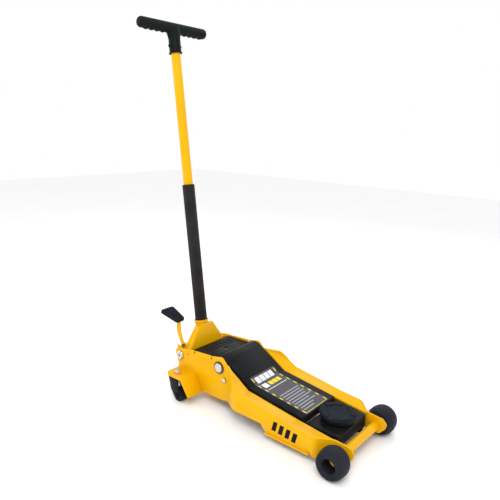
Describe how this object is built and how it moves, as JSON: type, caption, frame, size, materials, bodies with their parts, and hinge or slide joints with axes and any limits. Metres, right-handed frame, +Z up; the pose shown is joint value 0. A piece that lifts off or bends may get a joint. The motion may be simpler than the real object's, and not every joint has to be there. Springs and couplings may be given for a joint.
{
  "type": "trolley jack",
  "caption": "Low-profile hydraulic trolley jack: flared steel side plates, lift arm with rubber saddle, foot pedal, long T-handle, front wheels and rear swivel casters.",
  "frame": {"origin": "on the floor, below the middle of the jack's box as it stands with the arm down and the handle up", "axes": "+X forwards towards the saddle end, +Y to the jack's left, +Z up"},
  "size_m": [0.8984, 0.374, 1.3185],
  "materials": {
    "yellow_paint": "gloss",
    "black_paint": "satin",
    "bright_steel": "machined",
    "zinc": "zinc plated",
    "dark_steel": "phosphated",
    "cast_block": "rough",
    "chrome_rod": "polished",
    "spring_steel": "bright",
    "seal_rubber": "matt",
    "pad_rubber": "moulded",
    "wheel_nylon": "satin",
    "caster_tread": "satin",
    "foam": "closed-cell foam",
    "grip_plastic": "moulded"
  },
  "bodies": {
    "chassis": {"left_side_plate": "yellow_paint", "right_side_plate": "yellow_paint", "lower_rails": "yellow_paint", "front_axle": "yellow_paint", "wheel_clips": "spring_steel", "tie_rod": "yellow_paint", "base_plate": "yellow_paint", "caster_brackets": "yellow_paint", "caster_bolts": "zinc", "lift_pivot_pin": "bright_steel", "lift_pin_collars": "dark_steel", "handle_pivot_bolts": "bright_steel", "arm_stop_bolts": "zinc", "power_unit_cover": "black_paint", "pump_block": "cast_block", "oil_filler_plug": "zinc", "reservoir_tube": "black_paint", "cylinder_tube": "dark_steel", "cylinder_head": "black_paint", "radius_rod_anchors": "dark_steel", "return_springs": "spring_steel", "pump_spring": "spring_steel"},
    "lift_arm": {"arm_plates": "black_paint", "arm_cover": "black_paint", "arm_pivot_tube": "black_paint", "ram_lever": "black_paint", "ram_pin": "bright_steel", "saddle_cross_pin": "dark_steel"},
    "saddle_bracket": {"saddle_bracket": "black_paint"},
    "radius_rods": {"radius_rods": "black_paint"},
    "saddle": {"saddle_plate": "dark_steel", "saddle_clip": "spring_steel", "saddle_pad": "pad_rubber"},
    "ram": {"ram_rod": "chrome_rod", "ram_seal": "seal_rubber", "ram_crosshead": "dark_steel"},
    "handle_socket": {"socket_hood": "yellow_paint", "socket_tube": "yellow_paint", "socket_bosses": "yellow_paint", "roller_pin": "dark_steel", "retaining_screw": "zinc", "pedal_bracket": "yellow_paint", "pedal_bolt": "dark_steel"},
    "pump_roller": {"pump_roller": "bright_steel"},
    "pump_plunger": {"pump_plunger": "chrome_rod"},
    "handle": {"handle_lower_tube": "yellow_paint", "handle_upper_tube": "yellow_paint", "foam_sleeve": "foam", "handle_dog": "dark_steel", "t_grip": "grip_plastic", "grip_bolt": "grip_plastic"},
    "release_valve": {"release_valve_stem": "bright_steel"},
    "foot_pedal": {"pedal_arm": "yellow_paint", "pedal_pad": "pad_rubber"},
    "left_front_wheel": {"left_front_wheel": "wheel_nylon"},
    "right_front_wheel": {"right_front_wheel": "wheel_nylon"},
    "left_caster_fork": {"left_caster_fork": "black_paint"},
    "right_caster_fork": {"right_caster_fork": "black_paint"},
    "left_caster_wheel": {"left_caster_wheel": "caster_tread"},
    "right_caster_wheel": {"right_caster_wheel": "caster_tread"}
  },
  "joints": [
    {"name": "arm_lift", "type": "hinge", "parent": "chassis", "child": "lift_arm", "pos_m": [-0.0709, 0, 0.151], "axis": [0, -1, 0], "range_deg": [0, 55], "deforming": ["return_springs"]},
    {"name": "saddle_level", "type": "hinge", "parent": "lift_arm", "child": "saddle_bracket", "pos_m": [0.3511, 0, 0.048], "axis": [0, -1, 0], "range_deg": [-55, 0]},
    {"name": "radius_rod_swing", "type": "hinge", "parent": "chassis", "child": "radius_rods", "pos_m": [-0.06446, 0, 0.12478], "axis": [0, -1, 0], "range_deg": [0, 55]},
    {"name": "saddle_swivel", "type": "hinge", "parent": "saddle_bracket", "child": "saddle", "pos_m": [0.3271, 0, 0.084], "axis": [0, 0, 1], "continuous": true},
    {"name": "ram_stroke", "type": "slide", "parent": "chassis", "child": "ram", "axis": [1, 0, 0], "range_m": [0, 0.0555]},
    {"name": "handle_pump", "type": "hinge", "parent": "chassis", "child": "handle_socket", "pos_m": [-0.2579, 0, 0.138], "axis": [0, -1, 0], "range_deg": [0, 60], "stiffness_Nm_per_rad": 20, "springref_deg": -25.78, "deforming": ["pump_spring"]},
    {"name": "roller_spin", "type": "hinge", "parent": "handle_socket", "child": "pump_roller", "pos_m": [-0.2679, -0.038, 0.12068], "axis": [0, 1, 0], "continuous": true},
    {"name": "plunger_stroke", "type": "slide", "parent": "chassis", "child": "pump_plunger", "axis": [1, 0, 0], "range_m": [0, 0.0202]},
    {"name": "handle_twist", "type": "hinge", "parent": "handle_socket", "child": "handle", "pos_m": [-0.2389, 0, 0.138], "axis": [-0.1616, 0, 0.9869], "range_deg": [0, 90]},
    {"name": "valve_turn", "type": "hinge", "parent": "chassis", "child": "release_valve", "pos_m": [-0.2389, 0, 0.138], "axis": [-0.1616, 0, 0.9869], "range_deg": [0, 90]},
    {"name": "pedal_press", "type": "hinge", "parent": "handle_socket", "child": "foot_pedal", "pos_m": [-0.2489, -0.0974, 0.175], "axis": [0, -1, 0], "range_deg": [0, 12], "stiffness_Nm_per_rad": 4, "springref_deg": -11.46},
    {"name": "left_front_roll", "type": "hinge", "parent": "chassis", "child": "left_front_wheel", "pos_m": [0.4031, 0.154, 0.045], "axis": [0, 1, 0], "continuous": true},
    {"name": "right_front_roll", "type": "hinge", "parent": "chassis", "child": "right_front_wheel", "pos_m": [0.4031, -0.154, 0.045], "axis": [0, 1, 0], "continuous": true},
    {"name": "left_caster_swivel", "type": "hinge", "parent": "chassis", "child": "left_caster_fork", "pos_m": [-0.2279, 0.148, 0.084], "axis": [0, 0, 1], "continuous": true},
    {"name": "left_caster_roll", "type": "hinge", "parent": "left_caster_fork", "child": "left_caster_wheel", "pos_m": [-0.2054, 0.15278, 0.025], "axis": [-0.2079, 0.9781, 0], "continuous": true},
    {"name": "right_caster_swivel", "type": "hinge", "parent": "chassis", "child": "right_caster_fork", "pos_m": [-0.2279, -0.148, 0.084], "axis": [0, 0, 1], "continuous": true},
    {"name": "right_caster_roll", "type": "hinge", "parent": "right_caster_fork", "child": "right_caster_wheel", "pos_m": [-0.2054, -0.15278, 0.025], "axis": [0.2079, 0.9781, 0], "continuous": true}
  ],
  "couplings": [
    {"joint": "saddle_level", "follows": "arm_lift", "ratio": -1},
    {"joint": "radius_rod_swing", "follows": "arm_lift", "ratio": 1},
    {"joint": "ram_stroke", "follows": "arm_lift", "m_per_rad": 0.0577},
    {"joint": "plunger_stroke", "follows": "handle_pump", "m_per_rad": 0.0191},
    {"joint": "valve_turn", "follows": "handle_twist", "ratio": 1}
  ]
}
